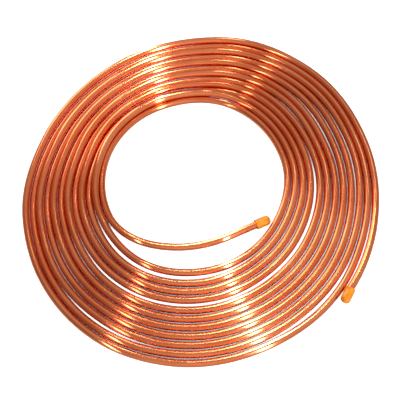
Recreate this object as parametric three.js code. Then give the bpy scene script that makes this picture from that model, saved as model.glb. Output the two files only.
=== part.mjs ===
import * as THREE from 'three';

// A length of soft copper tube wound into one flat coil, with a plastic cap on each end.
// Millimetres and degrees. +Z is up and the coil lies on the plane z = 0.
// The tube is followed from its inner end outward, clockwise as seen from above.
// A place along it is a number of turns: turn 0 points to startAngle, turn 1 is one lap later.

// Copper tube
const tubeDiameter = 12.7;
const tubeWall = 0.81;
const tubeSides = 10;
const boreSides = 8;
const ringsPerTurn = 24;
const copperColour = 0xc8693a;

// Winding
const startAngle = 334;
const innerEndTurn = 0.089;
const outerEndTurn = 12.03;
const holeRadius = 153.4;
const lapClearance = 0.3;
const lapPlay = 0.1;

// Where the hole is wider than its circle
const wideSide = { middle: 39, reach: 70, ramp: 44, by: 6.3 };

// Where every lap lies a little loose
const looseSide = { middle: 298, reach: 84, ramp: 60, by: 1.55 };

// Where the laps are pressed together, so that every second one rides up between its neighbours
const pressedSide = { middle: 137, reach: 115, ramp: 115, lean: 37.2 };

// The second lap rides up further than the others and partly covers the first
const secondLap = { middle: 128, reach: 86, ramp: 50, lean: 52 };

// Gaps, each outside the lap that it names. The floor shows through the wider ones.
const gapRamp = 40;
const gaps = [
  { lap: 1, middle: 240, reach: 38, width: 3.8 },
  { lap: 2, middle: 252, reach: 60, width: 4.2 },
  { lap: 3, middle: 216, reach: 24, width: 0.8 },
  { lap: 5, middle: 38, reach: 20, width: 1.8 },
  { lap: 5, middle: 296, reach: 98, width: 2.7 },
  { lap: 6, middle: 219, reach: 22, width: 0.8 },
  { lap: 7, middle: 26, reach: 40, width: 2.3 },
  { lap: 8, middle: 24, reach: 40, width: 1.8 },
  { lap: 8, middle: 216, reach: 22, width: 0.8 },
  { lap: 9, middle: 16, reach: 40, width: 1.9 },
  { lap: 9, middle: 218, reach: 22, width: 0.8 },
  { lap: 10, middle: 240, reach: 24, width: 2.3 },
  { lap: 11, middle: 312, reach: 26, width: 3.1 },
  { lap: 12, middle: 332, reach: 24, width: 1.6 },
];

// The inner end has sprung open into the hole, along an arc of its own
const sprungEnd = { middle: 284, inset: 30.4, radius: 215, turns: 0.5, blend: 20 };

// The last stretch to each cap: the tube rises, is drawn in, and runs straight up to the cap's mouth
const innerRiseTurns = 0.12;
const outerRiseTurns = 0.1;
const outerDrawIn = 2;
const outerTurnOut = 8;
const innerStraight = 50;
const outerStraight = 1.5;

// End caps
const capWall = 2.35;
const capLength = 27;
const socketDepth = 18;
const capDomeHeight = 7.5;
const capFlatRadius = 3;
const capLip = 0.6;
const capSides = 24;
const domeSteps = 5;
const fitClearance = 0.3;
const capColour = 0xf5a31c;

// Sizes that follow from those above
const tubeRadius = tubeDiameter / 2;
const boreRadius = tubeRadius - tubeWall;
const restHeight = tubeRadius * Math.cos(Math.PI / tubeSides);
const touchDistance = tubeDiameter + lapClearance;
const socketRadius = (tubeRadius + fitClearance) / Math.cos(Math.PI / capSides);
const capRadius = tubeRadius + fitClearance + capWall;

const radians = THREE.MathUtils.degToRad;
const ease = (x) => THREE.MathUtils.smoothstep(x, 0, 1);

function angleAt(turn) {
  return startAngle - 360 * turn;
}

function lapTurn(lap, angle) {
  return lap - 1 + THREE.MathUtils.euclideanModulo(startAngle - angle, 360) / 360;
}

// 1 in the middle of a zone, 0 beyond its reach
function zoneWeight(turn, zone) {
  const away = THREE.MathUtils.euclideanModulo(angleAt(turn) - zone.middle + 180, 360) - 180;
  return ease((zone.reach - Math.abs(away)) / zone.ramp);
}

function gapWeight(turn, gap) {
  const away = 360 * (turn - lapTurn(gap.lap, gap.middle));
  return ease((gap.reach - Math.abs(away)) / Math.min(gap.reach, gapRamp));
}

// Two touching laps whose centres lie this far apart in plan, when one leans on the other
function leanedSpacing(lean) {
  return touchDistance * Math.cos(radians(lean));
}

function laidSpacing(turn) {
  const leaned = leanedSpacing(pressedSide.lean * zoneWeight(turn, pressedSide));
  return leaned + lapPlay + looseSide.by * zoneWeight(turn, looseSide);
}

// What the distance to the next lap out has over the laid spacing
function extraSpacing(turn) {
  let extra = 0;
  for (const gap of gaps) {
    extra += gap.width * gapWeight(turn, gap);
  }
  if (turn < 2) {
    const common = leanedSpacing(pressedSide.lean * zoneWeight(turn, pressedSide));
    extra += leanedSpacing(secondLap.lean * zoneWeight(turn, secondLap)) - common;
  }
  return extra;
}

// The lesser of two lengths, with the corner where they cross rounded off
function softMinimum(a, b, blend) {
  const near = Math.max(blend - Math.abs(a - b), 0) / blend;
  return Math.min(a, b) - near * near * blend / 4;
}

// Distance from the coil's centre to the arc of the sprung end
function sprungRadius(turn) {
  const centreDistance = sprungEnd.radius - (holeRadius - sprungEnd.inset);
  const away = radians(angleAt(turn) - sprungEnd.middle);
  const across = centreDistance * Math.sin(away);
  return Math.sqrt(sprungEnd.radius ** 2 - across ** 2) - centreDistance * Math.cos(away);
}

function outerEndWeight(turn) {
  return ease(1 - (outerEndTurn - turn) / outerRiseTurns);
}

function innerEndWeight(turn) {
  return ease(1 - (turn - innerEndTurn) / innerRiseTurns);
}

function laidRadius(turn) {
  let radius = holeRadius + wideSide.by * zoneWeight(turn, wideSide) + turn * laidSpacing(turn);
  for (let inner = turn - 1; inner > 0; inner -= 1) {
    radius += extraSpacing(inner);
  }
  return radius;
}

function coilRadius(turn) {
  const radius = laidRadius(turn) - outerDrawIn * outerEndWeight(turn);
  if (turn > sprungEnd.turns) {
    return radius;
  }
  return softMinimum(radius, sprungRadius(turn), sprungEnd.blend);
}

// The outer cap leans on the shoulder of the lap inside it
function outerEndRise() {
  const seatDistance = capRadius + tubeRadius + fitClearance;
  const across = laidRadius(outerEndTurn) - outerDrawIn - laidRadius(outerEndTurn - 1);
  return Math.sqrt(Math.max(seatDistance ** 2 - across ** 2, 0));
}

function coilHeight(turn) {
  const lap = Math.floor(turn) + 1;
  let height = restHeight;
  if (lap % 2 === 0) {
    const zone = lap === 2 ? secondLap : pressedSide;
    height += touchDistance * Math.sin(radians(zone.lean * zoneWeight(turn, zone)));
  }
  height += (capRadius - restHeight) * innerEndWeight(turn);
  return height + outerEndRise() * outerEndWeight(turn);
}

function coilPoint(turn) {
  const angle = radians(angleAt(turn));
  const radius = coilRadius(turn);
  return new THREE.Vector3(radius * Math.cos(angle), radius * Math.sin(angle), coilHeight(turn));
}

function coilDirection(turn) {
  const step = 1e-4;
  return coilPoint(turn + step).sub(coilPoint(turn - step)).normalize();
}

// The centreline of the tube. Its rings stand at whole steps of a turn, in line from lap to lap,
// its section stays upright, and each end runs on straight into its cap. The outer end is bent
// outward a little at the mouth of its cap.
class CoilPath extends THREE.Curve {
  constructor() {
    super();
    this.turns = [innerEndTurn];
    for (let i = Math.floor(innerEndTurn * ringsPerTurn) + 1; i < outerEndTurn * ringsPerTurn; i += 1) {
      this.turns.push(i / ringsPerTurn);
    }
    this.turns.push(outerEndTurn);
    this.points = this.turns.map(coilPoint);
    this.tangents = this.turns.map(coilDirection);
    const lastRing = this.points.length - 1;
    const up = new THREE.Vector3(0, 0, 1);
    const first = this.tangents[0].clone().setZ(0).normalize();
    const last = this.tangents[lastRing].clone().setZ(0).normalize().applyAxisAngle(up, radians(outerTurnOut));
    const innerTip = this.points[0].clone().addScaledVector(first, -innerStraight - socketDepth);
    const outerTip = this.points[lastRing].clone().addScaledVector(last, outerStraight + socketDepth);
    this.tangents[0] = first;
    this.tangents[lastRing] = last;
    this.points = [innerTip, ...this.points, outerTip];
    this.tangents = [first, ...this.tangents, last];
  }

  getPoint(t) {
    const place = t * (this.points.length - 1);
    const i = Math.min(Math.floor(place), this.points.length - 2);
    return this.points[i].clone().lerp(this.points[i + 1], place - i);
  }

  getSpacedPoints() {
    return this.points.map((point) => point.clone());
  }

  computeFrenetFrames() {
    const up = new THREE.Vector3(0, 0, 1);
    const normals = this.tangents.map((tangent) => up.clone().cross(tangent).normalize());
    const binormals = this.tangents.map((tangent, i) => tangent.clone().cross(normals[i]));
    return { tangents: this.tangents, normals, binormals };
  }
}

// A regular polygon with one flat side down
function flatPolygon(radius, sides) {
  const points = [];
  for (let i = 0; i < sides; i += 1) {
    const angle = -Math.PI / 2 + (2 * i + 1) * Math.PI / sides;
    points.push(new THREE.Vector2(radius * Math.cos(angle), radius * Math.sin(angle)));
  }
  return points;
}

function makeTube(path) {
  const section = new THREE.Shape(flatPolygon(tubeRadius, tubeSides));
  section.holes.push(new THREE.Path(flatPolygon(boreRadius, boreSides)));
  const geometry = new THREE.ExtrudeGeometry(section, {
    steps: path.points.length - 1,
    bevelEnabled: false,
    extrudePath: path,
  });
  const copper = new THREE.MeshStandardMaterial({ color: copperColour, roughness: 0.28, metalness: 1 });
  const tube = new THREE.Mesh(geometry, copper);
  tube.name = 'copper_tube';
  return tube;
}

// Half section of a cap, from the floor of its socket round its mouth to its domed end
function capProfile() {
  const points = [
    new THREE.Vector2(0, socketDepth),
    new THREE.Vector2(socketRadius, socketDepth),
    new THREE.Vector2(socketRadius, 0),
    new THREE.Vector2(capRadius - capLip, 0),
    new THREE.Vector2(capRadius, capLip),
  ];
  for (let i = 0; i <= domeSteps; i += 1) {
    const angle = (i / domeSteps) * Math.PI / 2;
    const x = capFlatRadius + (capRadius - capFlatRadius) * Math.cos(angle);
    points.push(new THREE.Vector2(x, capLength - capDomeHeight * (1 - Math.sin(angle))));
  }
  points.push(new THREE.Vector2(0, capLength));
  return points;
}

// A cap stands with its mouth toward the tube, and its socket's floor clears the cut end
function makeCap(name, tubeEnd, outward) {
  const geometry = new THREE.LatheGeometry(capProfile(), capSides);
  const plastic = new THREE.MeshStandardMaterial({ color: capColour, roughness: 0.35, metalness: 0 });
  const cap = new THREE.Mesh(geometry, plastic);
  cap.name = name;
  cap.quaternion.setFromUnitVectors(new THREE.Vector3(0, 1, 0), outward);
  cap.position.copy(tubeEnd).addScaledVector(outward, fitClearance - socketDepth);
  return cap;
}

const path = new CoilPath();
const lastPoint = path.points.length - 1;
const coil = new THREE.Group();
coil.add(
  makeTube(path),
  makeCap('inner_end_cap', path.points[0], path.tangents[0].clone().negate()),
  makeCap('outer_end_cap', path.points[lastPoint], path.tangents[lastPoint].clone()),
);

// The origin is the middle of the coil's box, at the floor
coil.updateMatrixWorld(true);
const box = new THREE.Box3().setFromObject(coil, true);
const middle = box.getCenter(new THREE.Vector3());
coil.position.set(-middle.x, -middle.y, -box.min.z);

export default coil;
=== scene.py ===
import math

import bmesh
import bpy
from mathutils import Matrix, Vector


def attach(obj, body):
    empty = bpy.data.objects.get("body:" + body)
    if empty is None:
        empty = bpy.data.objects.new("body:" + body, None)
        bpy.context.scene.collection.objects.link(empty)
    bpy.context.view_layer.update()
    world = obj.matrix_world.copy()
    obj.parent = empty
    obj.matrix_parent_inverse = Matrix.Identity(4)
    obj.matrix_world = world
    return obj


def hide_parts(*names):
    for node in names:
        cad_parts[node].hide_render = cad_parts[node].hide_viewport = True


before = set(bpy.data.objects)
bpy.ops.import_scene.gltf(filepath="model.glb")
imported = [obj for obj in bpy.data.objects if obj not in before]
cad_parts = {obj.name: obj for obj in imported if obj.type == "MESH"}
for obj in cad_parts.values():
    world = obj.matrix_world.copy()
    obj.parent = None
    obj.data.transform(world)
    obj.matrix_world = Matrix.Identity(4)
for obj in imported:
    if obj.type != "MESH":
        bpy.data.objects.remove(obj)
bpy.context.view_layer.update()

MM = 0.001

# Copper tube, in millimetres, and its winding, in millimetres, degrees and turns, as in the CAD
TUBE_RADIUS = 6.35
TUBE_WALL = 0.81
TOUCH_DISTANCE = 13.0
LAP_PLAY = 0.1
START_ANGLE = 334
INNER_END = 0.089
OUTER_END = 12.03
HOLE_RADIUS = 153.4
WIDE_SIDE = {"middle": 39, "reach": 70, "ramp": 44, "by": 6.3}
LOOSE_SIDE = {"middle": 298, "reach": 84, "ramp": 60, "by": 1.55}
PRESSED_SIDE = {"middle": 137, "reach": 115, "ramp": 115, "lean": 37.2}
SECOND_LAP = {"middle": 128, "reach": 86, "ramp": 50, "lean": 52}
GAP_RAMP = 40

# Lap, middle, reach and width of each gap, which lies outside that lap
GAPS = (
    (1, 240, 38, 3.8),
    (2, 252, 60, 4.2),
    (3, 216, 24, 0.8),
    (5, 38, 20, 1.8),
    (5, 296, 98, 2.7),
    (6, 219, 22, 0.8),
    (7, 26, 40, 2.3),
    (8, 24, 40, 1.8),
    (8, 216, 22, 0.8),
    (9, 16, 40, 1.9),
    (9, 218, 22, 0.8),
    (10, 240, 24, 2.3),
    (11, 312, 26, 3.1),
    (12, 332, 24, 1.6),
)
SPRUNG_END = {"middle": 284, "inset": 30.4, "radius": 215, "turns": 0.5, "blend": 20}
INNER_RISE = 0.12
OUTER_RISE = 0.1
OUTER_DRAW_IN = 2
OUTER_TURN_OUT = 8
INNER_STRAIGHT = 50
OUTER_STRAIGHT = 1.5

# End caps, in millimetres
CAP_RADIUS = 9.0
CAP_LENGTH = 27
SOCKET_DEPTH = 18
FIT_CLEARANCE = 0.3
SOCKET_BEVEL = 1
CAP_RIM = 0.35
CAP_BEAD = 0.18
CAP_DOME = 7.0
CAP_END_FLAT = 2.4
CAP_DOME_STEPS = 12
CAP_SIDES = 64

# Rings of the CAD tube and of the tube made here, to one turn, and the sides of the one made here
CAD_RINGS = 24
FINE_RINGS = 120
OUTSIDE_SIDES = 28
BORE_SIDES = 14
INNER_STEPS = 8
OUTER_STEPS = 3


def ease(x):
    x = min(max(x, 0), 1)
    return x * x * (3 - 2 * x)


def angle_at(turn):
    return START_ANGLE - 360 * turn


def zone_weight(turn, zone):
    away = (angle_at(turn) - zone["middle"] + 180) % 360 - 180
    return ease((zone["reach"] - abs(away)) / zone["ramp"])


def gap_weight(turn, lap, middle, reach):
    at = lap - 1 + ((START_ANGLE - middle) % 360) / 360
    return ease((reach - 360 * abs(turn - at)) / min(reach, GAP_RAMP))


def leaned_spacing(lean):
    return TOUCH_DISTANCE * math.cos(math.radians(lean))


def laid_spacing(turn):
    leaned = leaned_spacing(PRESSED_SIDE["lean"] * zone_weight(turn, PRESSED_SIDE))
    return leaned + LAP_PLAY + LOOSE_SIDE["by"] * zone_weight(turn, LOOSE_SIDE)


def extra_spacing(turn):
    extra = sum(width * gap_weight(turn, lap, middle, reach) for lap, middle, reach, width in GAPS)
    if turn < 2:
        extra += leaned_spacing(SECOND_LAP["lean"] * zone_weight(turn, SECOND_LAP))
        extra -= leaned_spacing(PRESSED_SIDE["lean"] * zone_weight(turn, PRESSED_SIDE))
    return extra


def soft_minimum(a, b, blend):
    near = max(blend - abs(a - b), 0) / blend
    return min(a, b) - near * near * blend / 4


def sprung_radius(turn):
    centre_distance = SPRUNG_END["radius"] - (HOLE_RADIUS - SPRUNG_END["inset"])
    away = math.radians(angle_at(turn) - SPRUNG_END["middle"])
    across = centre_distance * math.sin(away)
    return math.sqrt(SPRUNG_END["radius"] ** 2 - across ** 2) - centre_distance * math.cos(away)


def outer_end_weight(turn):
    return ease(1 - (OUTER_END - turn) / OUTER_RISE)


def inner_end_weight(turn):
    return ease(1 - (turn - INNER_END) / INNER_RISE)


def laid_radius(turn):
    radius = HOLE_RADIUS + WIDE_SIDE["by"] * zone_weight(turn, WIDE_SIDE) + turn * laid_spacing(turn)
    inner = turn - 1
    while inner > 0:
        radius += extra_spacing(inner)
        inner -= 1
    return radius


def coil_radius(turn):
    radius = laid_radius(turn) - OUTER_DRAW_IN * outer_end_weight(turn)
    if turn > SPRUNG_END["turns"]:
        return radius
    return soft_minimum(radius, sprung_radius(turn), SPRUNG_END["blend"])


def outer_end_rise():
    seat = CAP_RADIUS + TUBE_RADIUS + FIT_CLEARANCE
    across = laid_radius(OUTER_END) - OUTER_DRAW_IN - laid_radius(OUTER_END - 1)
    return math.sqrt(max(seat ** 2 - across ** 2, 0))


def coil_height(turn):
    lap = math.floor(turn) + 1
    height = TUBE_RADIUS
    if lap % 2 == 0:
        zone = SECOND_LAP if lap == 2 else PRESSED_SIDE
        height += TOUCH_DISTANCE * math.sin(math.radians(zone["lean"] * zone_weight(turn, zone)))
    height += (CAP_RADIUS - TUBE_RADIUS) * inner_end_weight(turn)
    return height + outer_end_rise() * outer_end_weight(turn)


def coil_point(turn):
    angle = math.radians(angle_at(turn))
    radius = coil_radius(turn)
    return Vector((radius * math.cos(angle), radius * math.sin(angle), coil_height(turn)))


def level_direction(turn):
    step = 1e-4
    direction = coil_point(turn + step) - coil_point(turn - step)
    direction.z = 0
    return direction.normalized()


def turns_at(rings):
    first = math.floor(INNER_END * rings) + 1
    last = math.ceil(OUTER_END * rings) - 1
    return [INNER_END] + [i / rings for i in range(first, last + 1)] + [OUTER_END]


# The CAD's origin is the middle of its own box, so its rings give the centre of the winding
def winding_centre():
    sides = []
    for turn in turns_at(CAD_RINGS):
        across = level_direction(turn).cross(Vector((0, 0, 1))) * TUBE_RADIUS
        sides += [coil_point(turn) + across, coil_point(turn) - across]
    middle_x = (min(p.x for p in sides) + max(p.x for p in sides)) / 2
    middle_y = (min(p.y for p in sides) + max(p.y for p in sides)) / 2
    return Vector((-middle_x, -middle_y, 0)) * MM


centre = winding_centre()
inner_direction = -level_direction(INNER_END)
outer_direction = Matrix.Rotation(math.radians(OUTER_TURN_OUT), 3, "Z") @ level_direction(OUTER_END)
inner_mouth = coil_point(INNER_END) + inner_direction * (INNER_STRAIGHT + SOCKET_DEPTH + FIT_CLEARANCE)
outer_mouth = coil_point(OUTER_END) + outer_direction * (OUTER_STRAIGHT + SOCKET_DEPTH + FIT_CLEARANCE)


def in_frame(point):
    return point * MM + centre


# The camera has the photograph's own view, 23 degrees from straight above
camera_data = bpy.data.cameras.new("camera")
camera = bpy.data.objects.new("camera", camera_data)
bpy.context.scene.collection.objects.link(camera)
CAMERA_TILT = math.radians(23)
CAMERA_DISTANCE = 1.3758
HALF_VIEW = 200 / 780
AIM_BESIDE_CENTRE = Vector((0.0157, -0.0353, 0))
camera_data.sensor_fit = "HORIZONTAL"
camera_data.angle = 2 * math.atan(HALF_VIEW)
camera_data.clip_end = 20
aim = centre + AIM_BESIDE_CENTRE
camera.location = aim + CAMERA_DISTANCE * Vector((0, -math.sin(CAMERA_TILT), math.cos(CAMERA_TILT)))
camera.rotation_euler = (CAMERA_TILT, 0, 0)
bpy.context.scene.camera = camera


# Shader node helpers
def new_group(name, inputs, outputs):
    group = bpy.data.node_groups.new(name, "ShaderNodeTree")
    for socket, kind, default in inputs:
        made = group.interface.new_socket(socket, in_out="INPUT", socket_type=kind)
        if default is not None:
            made.default_value = default
    for socket, kind in outputs:
        group.interface.new_socket(socket, in_out="OUTPUT", socket_type=kind)
    return group, group.nodes.new("NodeGroupInput"), group.nodes.new("NodeGroupOutput")


def put_node(tree, kind, links=(), **settings):
    node = tree.nodes.new(kind)
    for name, value in settings.items():
        setattr(node, name, value)
    for socket, value in links:
        if isinstance(value, bpy.types.NodeSocket):
            tree.links.new(value, node.inputs[socket])
        else:
            node.inputs[socket].default_value = value
    return node


def put_math(tree, operation, *values):
    return put_node(tree, "ShaderNodeMath", list(enumerate(values)), operation=operation).outputs[0]


def put_mix(tree, factor, a, b):
    node = put_node(tree, "ShaderNodeMix", [(0, factor), (6, a), (7, b)], data_type="RGBA")
    return node.outputs[2]


def put_range(tree, value, low, high, to_low, to_high):
    links = [("Value", value), ("From Min", low), ("From Max", high), ("To Min", to_low), ("To Max", to_high)]
    return put_node(tree, "ShaderNodeMapRange", links).outputs[0]


# Lines left by the drawing die, long along the tube and fine across it
def drawing_lines_group():
    group, inside, out = new_group(
        "drawing_lines",
        [
            ("Place", "NodeSocketVector", None),
            ("Lines", "NodeSocketFloat", 900.0),
            ("Run", "NodeSocketFloat", 4.0),
        ],
        [("Height", "NodeSocketFloat"), ("Tone", "NodeSocketFloat")],
    )
    split = put_node(group, "ShaderNodeSeparateXYZ", [(0, inside.outputs["Place"])])
    along = put_math(group, "MULTIPLY", split.outputs[0], inside.outputs["Run"])
    side = put_math(group, "MULTIPLY", split.outputs[1], inside.outputs["Lines"])
    rise = put_math(group, "MULTIPLY", split.outputs[2], inside.outputs["Lines"])
    stretched = put_node(group, "ShaderNodeCombineXYZ", [(0, along), (1, side), (2, rise)]).outputs[0]
    fine = put_node(group, "ShaderNodeTexNoise", [("Vector", stretched), ("Scale", 1.0), ("Detail", 3.0)])
    broad = put_node(group, "ShaderNodeTexNoise", [("Vector", stretched), ("Scale", 0.25), ("Detail", 2.0)])
    group.links.new(fine.outputs[0], out.inputs["Height"])
    group.links.new(broad.outputs[0], out.inputs["Tone"])
    return group


# Patches scuffed dull by handling
def handling_marks_group():
    group, inside, out = new_group(
        "handling_marks",
        [
            ("Place", "NodeSocketVector", None),
            ("Scale", "NodeSocketFloat", 60.0),
            ("Amount", "NodeSocketFloat", 0.5),
        ],
        [("Mask", "NodeSocketFloat")],
    )
    patches = put_node(
        group, "ShaderNodeTexNoise",
        [("Vector", inside.outputs["Place"]), ("Scale", inside.outputs["Scale"]), ("Detail", 4.0)],
    )
    worn = put_range(group, patches.outputs[0], 0.55, 0.7, 0.0, 1.0)
    mask = put_math(group, "MULTIPLY", worn, inside.outputs["Amount"])
    group.links.new(mask, out.inputs["Mask"])
    return group


drawing_lines = drawing_lines_group()
handling_marks = handling_marks_group()


def new_material(name):
    material = bpy.data.materials.new(name)
    material.use_nodes = True
    tree = material.node_tree
    tree.nodes.clear()
    shader = tree.nodes.new("ShaderNodeBsdfPrincipled")
    out = tree.nodes.new("ShaderNodeOutputMaterial")
    tree.links.new(shader.outputs[0], out.inputs[0])
    return material, tree, shader


COPPER_BRIGHT = (0.93, 0.29, 0.125, 1)
COPPER_DEEP = (0.78, 0.165, 0.05, 1)
COPPER_ROUGHNESS = (0.1, 0.19)
SCUFF_ROUGHNESS = 0.08
SCUFF_SCALE = 45.0
SCUFF_AMOUNT = 0.6
FILM_SCALE = 14.0
LINE_STRENGTH = 0.22
LINE_DEPTH = 0.05 * MM
CAP_ORANGE = (0.86, 0.29, 0.003, 1)
CAP_DEEP_ORANGE = (0.62, 0.165, 0.002, 1)
CAP_ROUGHNESS = (0.14, 0.3)
CAP_SCUFF_SCALE = 260.0
CAP_SCUFF_AMOUNT = 0.5
SWIRL_SCALE = 90.0
SWIRL_STRENGTH = 0.25
SWIRL_DEPTH = 0.4 * MM


def bright_copper():
    material, tree, shader = new_material("bright_copper")
    place = put_node(tree, "ShaderNodeAttribute", attribute_name="tube_place").outputs["Vector"]
    run = put_node(tree, "ShaderNodeAttribute", attribute_name="tube_run").outputs["Vector"]
    body = put_node(tree, "ShaderNodeTexCoord").outputs["Object"]
    lines = put_node(tree, "ShaderNodeGroup", node_tree=drawing_lines)
    tree.links.new(place, lines.inputs["Place"])
    marks = put_node(tree, "ShaderNodeGroup", node_tree=handling_marks)
    tree.links.new(body, marks.inputs["Place"])
    marks.inputs["Scale"].default_value = SCUFF_SCALE
    marks.inputs["Amount"].default_value = SCUFF_AMOUNT
    film = put_node(tree, "ShaderNodeTexNoise", [("Vector", body), ("Scale", FILM_SCALE), ("Detail", 3.0)])
    tone = put_math(tree, "ADD", put_range(tree, film.outputs[0], 0.35, 0.65, 0.0, 0.5),
                    put_range(tree, lines.outputs["Tone"], 0.35, 0.65, 0.0, 0.5))
    colour = put_mix(tree, tone, COPPER_BRIGHT, COPPER_DEEP)
    tree.links.new(colour, shader.inputs["Base Color"])
    rough = put_range(tree, lines.outputs["Tone"], 0.3, 0.7, *COPPER_ROUGHNESS)
    rough = put_math(tree, "ADD", rough, put_math(tree, "MULTIPLY", marks.outputs["Mask"], SCUFF_ROUGHNESS))
    tree.links.new(rough, shader.inputs["Roughness"])
    bump = put_node(tree, "ShaderNodeBump", [("Height", lines.outputs["Height"]), ("Strength", LINE_STRENGTH),
                                            ("Distance", LINE_DEPTH)])
    tree.links.new(bump.outputs[0], shader.inputs["Normal"])
    tree.links.new(run, shader.inputs["Tangent"])
    shader.inputs["Metallic"].default_value = 1.0
    shader.inputs["Anisotropic"].default_value = 0.85
    shader.inputs["Anisotropic Rotation"].default_value = 0.25
    return material


def cap_plastic():
    material, tree, shader = new_material("cap_plastic")
    body = put_node(tree, "ShaderNodeTexCoord").outputs["Object"]
    marks = put_node(tree, "ShaderNodeGroup", node_tree=handling_marks)
    tree.links.new(body, marks.inputs["Place"])
    marks.inputs["Scale"].default_value = CAP_SCUFF_SCALE
    marks.inputs["Amount"].default_value = CAP_SCUFF_AMOUNT
    swirl = put_node(tree, "ShaderNodeTexNoise", [("Vector", body), ("Scale", SWIRL_SCALE), ("Detail", 2.0)])
    colour = put_mix(tree, put_range(tree, swirl.outputs[0], 0.35, 0.65, 0.0, 1.0),
                     CAP_ORANGE, CAP_DEEP_ORANGE)
    tree.links.new(colour, shader.inputs["Base Color"])
    rough = put_range(tree, marks.outputs["Mask"], 0.0, CAP_SCUFF_AMOUNT, *CAP_ROUGHNESS)
    tree.links.new(rough, shader.inputs["Roughness"])
    bump = put_node(tree, "ShaderNodeBump", [("Height", swirl.outputs[0]), ("Strength", SWIRL_STRENGTH),
                                            ("Distance", SWIRL_DEPTH)])
    tree.links.new(bump.outputs[0], shader.inputs["Normal"])
    shader.inputs["Subsurface Weight"].default_value = 0.25
    shader.inputs["Subsurface Scale"].default_value = 0.004
    shader.inputs["Subsurface Radius"].default_value = (1.0, 0.45, 0.08)
    return material


copper = bright_copper()
plastic = cap_plastic()


# The tube's line, from its inner cut end to its outer one
def tube_line():
    inner_tip = coil_point(INNER_END) + inner_direction * (INNER_STRAIGHT + SOCKET_DEPTH)
    outer_tip = coil_point(OUTER_END) + outer_direction * (OUTER_STRAIGHT + SOCKET_DEPTH)
    laid = [coil_point(turn) for turn in turns_at(FINE_RINGS)]
    inner_run = [inner_tip.lerp(laid[0], i / INNER_STEPS) for i in range(INNER_STEPS)]
    outer_run = [laid[-1].lerp(outer_tip, (i + 1) / OUTER_STEPS) for i in range(OUTER_STEPS)]
    return [in_frame(p) for p in inner_run + laid + outer_run]


def line_object(name, points):
    curve = bpy.data.curves.new(name, "CURVE")
    curve.dimensions = "3D"
    spline = curve.splines.new("POLY")
    spline.points.add(len(points) - 1)
    spline.points.foreach_set("co", [c for p in points for c in (*p, 1)])
    made = bpy.data.objects.new(name, curve)
    bpy.context.scene.collection.objects.link(made)
    return made


# A tree that sweeps the outside and the bore of a tube along a line. It keeps where each point lies
# on the tube, along and across it, and which way the tube runs there.
def swept_tube_tree():
    tree = bpy.data.node_groups.new("swept_tube", "GeometryNodeTree")
    face = tree.interface
    face.new_socket("Line", in_out="INPUT", socket_type="NodeSocketGeometry")
    for name, kind, default in (
        ("Outside Radius", "NodeSocketFloat", TUBE_RADIUS * MM),
        ("Bore Radius", "NodeSocketFloat", (TUBE_RADIUS - TUBE_WALL) * MM),
        ("Outside Sides", "NodeSocketInt", OUTSIDE_SIDES),
        ("Bore Sides", "NodeSocketInt", BORE_SIDES),
    ):
        face.new_socket(name, in_out="INPUT", socket_type=kind).default_value = default
    face.new_socket("Finish", in_out="INPUT", socket_type="NodeSocketMaterial")
    face.new_socket("Tube", in_out="OUTPUT", socket_type="NodeSocketGeometry")
    inside = tree.nodes.new("NodeGroupInput")
    out = tree.nodes.new("NodeGroupOutput")

    def store(geometry, name, kind, value):
        node = put_node(tree, "GeometryNodeStoreNamedAttribute", [("Geometry", geometry), ("Name", name)],
                        data_type=kind, domain="POINT")
        tree.links.new(value, node.inputs["Value"])
        return node.outputs["Geometry"]

    upright = put_node(tree, "GeometryNodeSetCurveNormal", [("Curve", inside.outputs["Line"])], mode="Z_UP")
    length = tree.nodes.new("GeometryNodeSplineParameter").outputs["Length"]
    run = tree.nodes.new("GeometryNodeInputTangent").outputs[0]
    line = store(upright.outputs["Curve"], "tube_length", "FLOAT", length)
    line = store(line, "tube_run", "FLOAT_VECTOR", run)
    skins = []
    for radius, sides in (("Outside Radius", "Outside Sides"), ("Bore Radius", "Bore Sides")):
        ring = put_node(tree, "GeometryNodeCurvePrimitiveCircle",
                        [("Resolution", inside.outputs[sides]), ("Radius", inside.outputs[radius])],
                        mode="RADIUS")
        place = tree.nodes.new("GeometryNodeInputPosition").outputs[0]
        ring = store(ring.outputs["Curve"], "tube_across", "FLOAT_VECTOR", place)
        skin = put_node(tree, "GeometryNodeCurveToMesh", [("Curve", line), ("Profile Curve", ring)])
        skins.append(skin.outputs["Mesh"])
    bore = put_node(tree, "GeometryNodeFlipFaces", [("Mesh", skins[1])]).outputs[0]
    joined = tree.nodes.new("GeometryNodeJoinGeometry")
    tree.links.new(bore, joined.inputs[0])
    tree.links.new(skins[0], joined.inputs[0])
    across = put_node(tree, "GeometryNodeInputNamedAttribute", [("Name", "tube_across")],
                      data_type="FLOAT_VECTOR")
    along = put_node(tree, "GeometryNodeInputNamedAttribute", [("Name", "tube_length")], data_type="FLOAT")
    split = put_node(tree, "ShaderNodeSeparateXYZ", [(0, across.outputs["Attribute"])])
    place = put_node(tree, "ShaderNodeCombineXYZ",
                     [(0, along.outputs["Attribute"]), (1, split.outputs[0]), (2, split.outputs[1])])
    tube = store(joined.outputs[0], "tube_place", "FLOAT_VECTOR", place.outputs[0])
    smooth = put_node(tree, "GeometryNodeSetShadeSmooth", [("Geometry", tube)])
    real = put_node(tree, "GeometryNodeRealizeInstances", [("Geometry", smooth.outputs[0])])
    finish = put_node(tree, "GeometryNodeSetMaterial",
                      [("Geometry", real.outputs[0]), ("Material", inside.outputs["Finish"])])
    tree.links.new(finish.outputs[0], out.inputs["Tube"])
    return tree


# Joins the outside to the bore at each cut end
def close_cut_ends(mesh, ends):
    shape = bmesh.new()
    shape.from_mesh(mesh)
    for end in ends:
        rim = [e for e in shape.edges if e.is_boundary and (e.verts[0].co - end).length < 0.01]
        bmesh.ops.bridge_loops(shape, edges=rim)
    bmesh.ops.recalc_face_normals(shape, faces=shape.faces)
    shape.to_mesh(mesh)
    shape.free()


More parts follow.
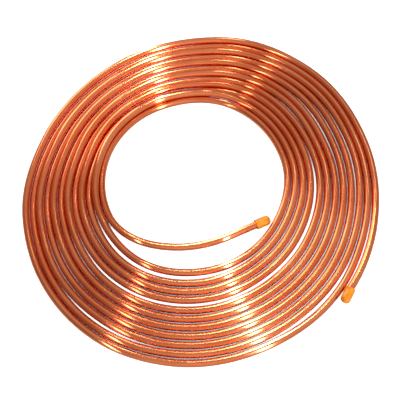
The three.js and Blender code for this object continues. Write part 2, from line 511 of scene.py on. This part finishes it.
def make_copper_tube():
    points = tube_line()
    line = line_object("tube_line", points)
    sweep = line.modifiers.new("sweep", "NODES")
    sweep.node_group = swept_tube_tree()
    sockets = {s.name: s.identifier for s in sweep.node_group.interface.items_tree if s.in_out == "INPUT"}
    sweep[sockets["Finish"]] = copper
    evaluated = line.evaluated_get(bpy.context.evaluated_depsgraph_get())
    mesh = bpy.data.meshes.new_from_object(evaluated)
    bpy.data.objects.remove(line)
    close_cut_ends(mesh, (points[0], points[-1]))
    mesh.materials.clear()
    mesh.materials.append(copper)
    tube = bpy.data.objects.new("wound_copper_tube", mesh)
    bpy.context.scene.collection.objects.link(tube)
    return tube


# Half section of a cap: distance from its mouth, and radius. It goes round the rim from the floor of
# the socket to the middle of the domed end.
def cap_section():
    socket = TUBE_RADIUS + FIT_CLEARANCE
    body = CAP_RADIUS - CAP_BEAD
    section = [(SOCKET_DEPTH, 0), (SOCKET_DEPTH, socket - SOCKET_BEVEL)]
    section += [(SOCKET_DEPTH - SOCKET_BEVEL, socket), (CAP_RIM, socket)]
    section += [(0, socket + CAP_RIM), (0, CAP_RADIUS - CAP_RIM), (CAP_RIM, CAP_RADIUS - 0.05)]
    section += [(1.2, CAP_RADIUS), (2.2, CAP_RADIUS - 0.05), (2.8, body)]
    section += [(6, body - 0.03), (12, body - 0.09)]
    for i in range(CAP_DOME_STEPS + 1):
        angle = (i / CAP_DOME_STEPS) * math.pi / 2
        radius = CAP_END_FLAT + (body - 0.15 - CAP_END_FLAT) * math.cos(angle)
        section.append((CAP_LENGTH - 0.4 - CAP_DOME * (1 - math.sin(angle)), radius))
    section += [(CAP_LENGTH - 0.35, 1.3), (CAP_LENGTH, 1.1), (CAP_LENGTH, 0)]
    return section


def make_cap(name, mouth, outward):
    shape = bmesh.new()
    profile = [shape.verts.new((radius * MM, 0, along * MM)) for along, radius in cap_section()]
    edges = [shape.edges.new(pair) for pair in zip(profile, profile[1:])]
    bmesh.ops.spin(shape, geom=profile + edges, cent=(0, 0, 0), axis=(0, 0, 1), dvec=(0, 0, 0),
                   angle=2 * math.pi, steps=CAP_SIDES, use_merge=True)
    bmesh.ops.remove_doubles(shape, verts=shape.verts, dist=1e-6)
    bmesh.ops.recalc_face_normals(shape, faces=shape.faces)
    turn = outward.to_track_quat("Z", "Y").to_matrix().to_4x4()
    shape.transform(Matrix.Translation(in_frame(mouth)) @ turn)
    mesh = bpy.data.meshes.new(name)
    shape.to_mesh(mesh)
    shape.free()
    mesh.polygons.foreach_set("use_smooth", [True] * len(mesh.polygons))
    mesh.materials.append(plastic)
    cap = bpy.data.objects.new(name, mesh)
    bpy.context.scene.collection.objects.link(cap)
    return cap


tube = make_copper_tube()
inner_cap = make_cap("inner_plastic_cap", inner_mouth - inner_direction * SOCKET_DEPTH, inner_direction)
outer_cap = make_cap("outer_plastic_cap", outer_mouth - outer_direction * SOCKET_DEPTH, outer_direction)
for piece, node, slot in (
    (tube, "copper_tube", "copper"),
    (inner_cap, "inner_end_cap", "cap"),
    (outer_cap, "outer_end_cap", "cap"),
):
    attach(piece, "root")
    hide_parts(node)


# The floor is plain white, with painted shade where it lies deep in a narrow gap between two laps: an
# ambient-occlusion mask turns its colour dark brown there and turns off its glow to the camera
FLOOR_HALF_SIDE = 6
PALE_FLOOR = (0.52, 0.52, 0.52, 1)
# Painted shade: the dark brown colour given to the floor in narrow gaps between laps
GAP_PAINTED_SHADE = (0.09, 0.04, 0.03, 1)
GAP_REACH = 9 * MM
DARK_OPENNESS = 0.145
PALE_OPENNESS = 0.195


def make_floor():
    material, tree, shader = new_material("white_floor")
    shader.inputs["Roughness"].default_value = 0.7
    shader.inputs["Specular IOR Level"].default_value = 0.0
    shader.inputs["Emission Color"].default_value = (1, 1, 1, 1)
    # Painted shade: where ambient occlusion finds a narrow gap, the floor colour is mixed towards the dark
    # brown and its glow to the camera is dimmed
    openness = put_node(tree, "ShaderNodeAmbientOcclusion", [("Distance", GAP_REACH)], samples=16)
    lit = put_range(tree, openness.outputs["AO"], DARK_OPENNESS, PALE_OPENNESS, 0.0, 1.0)
    colour = put_mix(tree, lit, GAP_PAINTED_SHADE, PALE_FLOOR)
    tree.links.new(colour, shader.inputs["Base Color"])
    seen = put_math(tree, "MULTIPLY", tree.nodes.new("ShaderNodeLightPath").outputs["Is Camera Ray"], lit)
    tree.links.new(seen, shader.inputs["Emission Strength"])
    mesh = bpy.data.meshes.new("floor")
    reach = FLOOR_HALF_SIDE
    corners = [(-reach, -reach, 0), (reach, -reach, 0), (reach, reach, 0), (-reach, reach, 0)]
    mesh.from_pydata(corners, [], [(0, 1, 2, 3)])
    mesh.materials.append(material)
    floor = bpy.data.objects.new("floor", mesh)
    bpy.context.scene.collection.objects.link(floor)


make_floor()


# Studio light. Directions are an azimuth from +X and an elevation, in degrees.
LIGHT_DISTANCE = 2.6


def towards(azimuth, elevation):
    a = math.radians(azimuth)
    e = math.radians(elevation)
    return Vector((math.cos(e) * math.cos(a), math.cos(e) * math.sin(a), math.sin(e)))


def soft_box(name, away, width, height, brightness, lean=0):
    light = bpy.data.lights.new(name, "AREA")
    light.shape = "RECTANGLE"
    light.size = width
    light.size_y = height
    light.energy = brightness * math.pi * width * height
    made = bpy.data.objects.new(name, light)
    bpy.context.scene.collection.objects.link(made)
    made.location = centre + away * LIGHT_DISTANCE
    turned = away.to_track_quat("Z", "Y").to_matrix() @ Matrix.Rotation(math.radians(lean), 3, "Z")
    made.rotation_euler = turned.to_euler()
    return made


# A narrow strip that follows part of an arch over the coil. Its ends are angles along the arch.
def arched_strip(name, azimuth, offset, ends, parts, width, brightness):
    along = towards(azimuth, 0)
    beside = towards(azimuth - 90, 0)
    up = Vector((0, 0, 1))
    tilt = math.radians(offset)
    step = math.radians(ends[1] - ends[0]) / parts
    for i in range(parts):
        angle = math.radians(ends[0]) + (i + 0.5) * step
        away = math.cos(tilt) * (math.cos(angle) * along + math.sin(angle) * up) + math.sin(tilt) * beside
        strip = soft_box(f"{name}_{i}", away, width, step * LIGHT_DISTANCE, brightness)
        forward = -math.sin(angle) * along + math.cos(angle) * up
        side = forward.cross(away).normalized()
        strip.rotation_euler = Matrix((side, away.cross(side), away)).transposed().to_euler()


STRIP_AZIMUTH = 112
STRIP_OFFSET = 8.6
STRIP_PARTS = 5
arched_strip("back_strip", STRIP_AZIMUTH, STRIP_OFFSET, (4, 62), STRIP_PARTS, 0.12, 34)
arched_strip("front_strip", STRIP_AZIMUTH, STRIP_OFFSET, (118, 172), STRIP_PARTS, 0.15, 30)
soft_box("back_box", towards(125, 28), 1.1, 2.1, 2.9)
soft_box("left_strip", towards(233, 38), 0.17, 2.3, 8.5, lean=14)
soft_box("small_box", towards(82, 43), 0.12, 0.3, 20)
soft_box("top_box", towards(66, 63), 0.12, 0.12, 10)


# The room round the coil: dim, with broad pale walls
def studio_room(base, walls):
    world = bpy.data.worlds.new("studio")
    bpy.context.scene.world = world
    world.use_nodes = True
    tree = world.node_tree
    direction = tree.nodes.new("ShaderNodeTexCoord").outputs["Generated"]
    total = base
    for azimuth, elevation, reach, brightness in walls:
        facing = put_node(tree, "ShaderNodeVectorMath", [(0, direction), (1, towards(azimuth, elevation))],
                          operation="DOT_PRODUCT").outputs["Value"]
        glow = put_node(tree, "ShaderNodeMapRange",
                        [("Value", facing), ("From Min", math.cos(math.radians(reach))), ("From Max", 1.0),
                         ("To Min", 0.0), ("To Max", brightness)], interpolation_type="SMOOTHSTEP").outputs[0]
        total = put_math(tree, "ADD", total, glow)
    background = tree.nodes["Background"]
    background.inputs["Color"].default_value = (1, 1, 1, 1)
    tree.links.new(total, background.inputs["Strength"])


# Azimuth, elevation, reach and brightness of each wall, over the room's own dim light
PALE_WALLS = (
    (318, 25, 75, 0.42),
    (265, 25, 50, 0.3),
    (112, 20, 60, 0.2),
    (60, 75, 50, 0.3),
)
ROOM_LIGHT = 0.27
studio_room(ROOM_LIGHT, PALE_WALLS)

view = bpy.context.scene.view_settings
view.view_transform = "Standard"
view.look = "None"
view.exposure = 0
